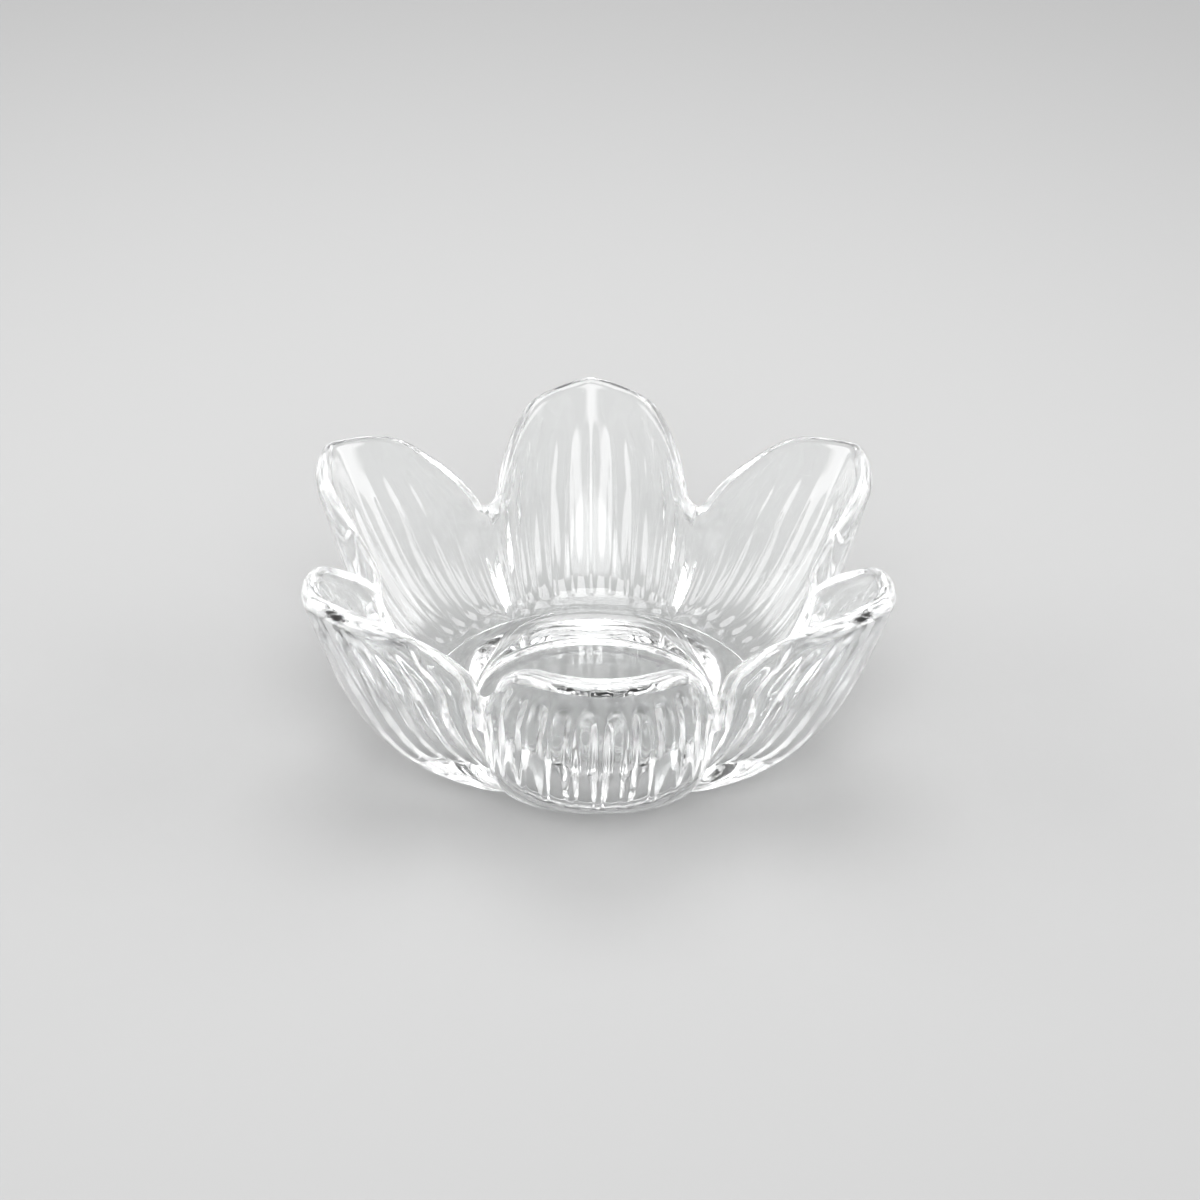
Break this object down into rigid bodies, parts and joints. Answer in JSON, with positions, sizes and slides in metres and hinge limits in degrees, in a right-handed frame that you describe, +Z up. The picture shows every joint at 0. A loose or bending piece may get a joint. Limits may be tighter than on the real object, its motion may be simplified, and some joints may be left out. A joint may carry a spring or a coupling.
{
  "type": "tealight holder",
  "caption": "Open lotus-flower bowl in clear pressed glass, with ribbed petals round a flat shelf and a shallow round well that takes a tealight.",
  "frame": {"origin": "centre of the foot, on the surface that the holder stands on", "axes": "+Z up along the flower's axis; one petal points to -Y, its opposite to +Y"},
  "size_m": [0.0964, 0.1088, 0.0395],
  "materials": {
    "glass": "clear colourless pressed glass, fire-polished, smooth and glossy"
  },
  "bodies": {
    "root": {"base": "glass", "petal_front": "glass", "petal_front_right": "glass", "petal_back_right": "glass", "petal_back": "glass", "petal_back_left": "glass", "petal_front_left": "glass"}
  },
  "joints": []
}
